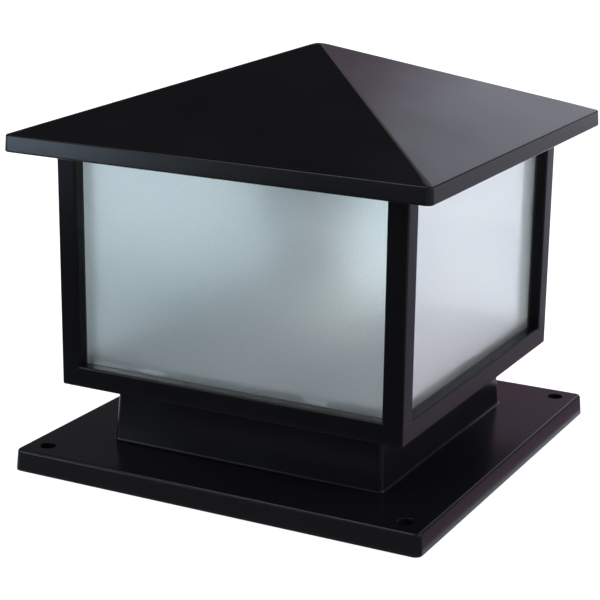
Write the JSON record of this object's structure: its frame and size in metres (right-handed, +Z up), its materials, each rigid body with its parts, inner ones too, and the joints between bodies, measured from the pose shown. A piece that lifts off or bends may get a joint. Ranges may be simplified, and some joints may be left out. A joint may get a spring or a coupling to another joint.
{
  "type": "deck post cap light",
  "caption": "Square post cap lantern: skirted base plate with tapered neck, framed frosted panes, a lift-off pyramid roof held by thumb screws, and a screw-in lamp.",
  "frame": {"origin": "middle of the base plate's underside, in the plane the plate stands on", "axes": "+Z up through the roof's peak; -Y to the front, the side at the picture's left; +X to the right side, at the picture's right"},
  "size_m": [0.25, 0.25, 0.2352],
  "materials": {
    "black_paint": "semi-gloss powder coat",
    "frosted_glass": "smooth outside, frosted inside",
    "glazing_tape": "matt foam tape",
    "black_rubber": "matt",
    "zinc_steel": "zinc plated",
    "brass": "turned, lightly tarnished",
    "glazed_ceramic": "glazed",
    "terminal_plastic": "moulded",
    "nylon": "moulded",
    "insulation_brown": "extruded",
    "insulation_blue": "extruded",
    "insulation_green_yellow": "extruded, striped",
    "lamp_white": "moulded",
    "opal_globe": "opal",
    "nickel_cap": "nickel plated",
    "black_insulator": "fired",
    "circuit_board": "white solder resist"
  },
  "bodies": {
    "lantern": {"base_casting": "black_paint", "neck_gasket": "black_rubber", "frame_tray": "black_paint", "tray_screws": "zinc_steel", "tray_washers": "zinc_steel", "post_front_left": "black_paint", "post_front_right": "black_paint", "post_back_right": "black_paint", "post_back_left": "black_paint", "top_ring": "black_paint", "lower_post_screws": "zinc_steel", "upper_post_screws": "zinc_steel", "pane_front": "frosted_glass", "pane_right": "frosted_glass", "pane_back": "frosted_glass", "pane_left": "frosted_glass", "tape_front": "glazing_tape", "tape_right": "glazing_tape", "tape_back": "glazing_tape", "tape_left": "glazing_tape", "setting_pads": "black_rubber", "lower_clips": "zinc_steel", "upper_clips": "zinc_steel", "lower_clip_screws": "zinc_steel", "upper_clip_screws": "zinc_steel", "holder_bracket": "zinc_steel", "bracket_screws": "zinc_steel", "lampholder": "glazed_ceramic", "holder_screws": "zinc_steel", "screw_shell": "brass", "centre_contact": "brass", "lead_clamp_screws": "brass", "terminal_block": "terminal_plastic", "terminal_sleeves": "brass", "terminal_screws": "zinc_steel", "block_screws": "zinc_steel", "earth_stud": "brass", "earth_nut": "brass", "earth_lug": "zinc_steel", "live_lead": "insulation_brown", "neutral_lead": "insulation_blue", "earth_lead": "insulation_green_yellow", "cable_grommet": "black_rubber"},
    "roof": {"roof": "black_paint", "roof_seal": "black_rubber"},
    "thumb_washer_front": {"thumb_washer_front": "nylon"},
    "thumb_washer_right": {"thumb_washer_right": "nylon"},
    "thumb_washer_back": {"thumb_washer_back": "nylon"},
    "thumb_washer_left": {"thumb_washer_left": "nylon"},
    "thumb_screw_front": {"thumb_screw_front": "brass"},
    "thumb_screw_right": {"thumb_screw_right": "brass"},
    "thumb_screw_back": {"thumb_screw_back": "brass"},
    "thumb_screw_left": {"thumb_screw_left": "brass"},
    "lamp_ring": {"lamp_seal_ring": "black_rubber"},
    "lamp": {"lamp_cap": "nickel_cap", "lamp_insulator": "black_insulator", "lamp_tip": "nickel_cap", "lamp_housing": "lamp_white", "led_board": "circuit_board", "lamp_globe": "opal_globe"}
  },
  "joints": [
    {"name": "roof_lift", "type": "slide", "parent": "lantern", "child": "roof", "axis": [0, 0, 1], "range_m": [0, 0.12]},
    {"name": "thumb_front_travel", "type": "slide", "parent": "roof", "child": "thumb_washer_front", "axis": [0, -1, 0], "range_m": [0, 0.002]},
    {"name": "thumb_front_turn", "type": "hinge", "parent": "thumb_washer_front", "child": "thumb_screw_front", "pos_m": [0, -0.111, 0.184], "axis": [0, -1, 0], "range_deg": [0, 905]},
    {"name": "thumb_right_travel", "type": "slide", "parent": "roof", "child": "thumb_washer_right", "axis": [1, 0, 0], "range_m": [0, 0.002]},
    {"name": "thumb_right_turn", "type": "hinge", "parent": "thumb_washer_right", "child": "thumb_screw_right", "pos_m": [0.111, 0, 0.184], "axis": [1, 0, 0], "range_deg": [0, 905]},
    {"name": "thumb_back_travel", "type": "slide", "parent": "roof", "child": "thumb_washer_back", "axis": [0, 1, 0], "range_m": [0, 0.002]},
    {"name": "thumb_back_turn", "type": "hinge", "parent": "thumb_washer_back", "child": "thumb_screw_back", "pos_m": [0, 0.111, 0.184], "axis": [0, 1, 0], "range_deg": [0, 905]},
    {"name": "thumb_left_travel", "type": "slide", "parent": "roof", "child": "thumb_washer_left", "axis": [-1, 0, 0], "range_m": [0, 0.002]},
    {"name": "thumb_left_turn", "type": "hinge", "parent": "thumb_washer_left", "child": "thumb_screw_left", "pos_m": [-0.111, 0, 0.184], "axis": [-1, 0, 0], "range_deg": [0, 905]},
    {"name": "lamp_rise", "type": "slide", "parent": "lantern", "child": "lamp_ring", "axis": [0, 0, 1], "range_m": [0, 0.0165]},
    {"name": "lamp_turn", "type": "hinge", "parent": "lamp_ring", "child": "lamp", "pos_m": [0, 0, 0.1], "axis": [0, 0, 1], "range_deg": [0, 1620]}
  ],
  "couplings": [
    {"joint": "thumb_front_turn", "follows": "thumb_front_travel", "rad_per_m": 7854},
    {"joint": "thumb_right_turn", "follows": "thumb_right_travel", "rad_per_m": 7854},
    {"joint": "thumb_back_turn", "follows": "thumb_back_travel", "rad_per_m": 7854},
    {"joint": "thumb_left_turn", "follows": "thumb_left_travel", "rad_per_m": 7854},
    {"joint": "lamp_rise", "follows": "lamp_turn", "m_per_rad": 0.00057757}
  ]
}
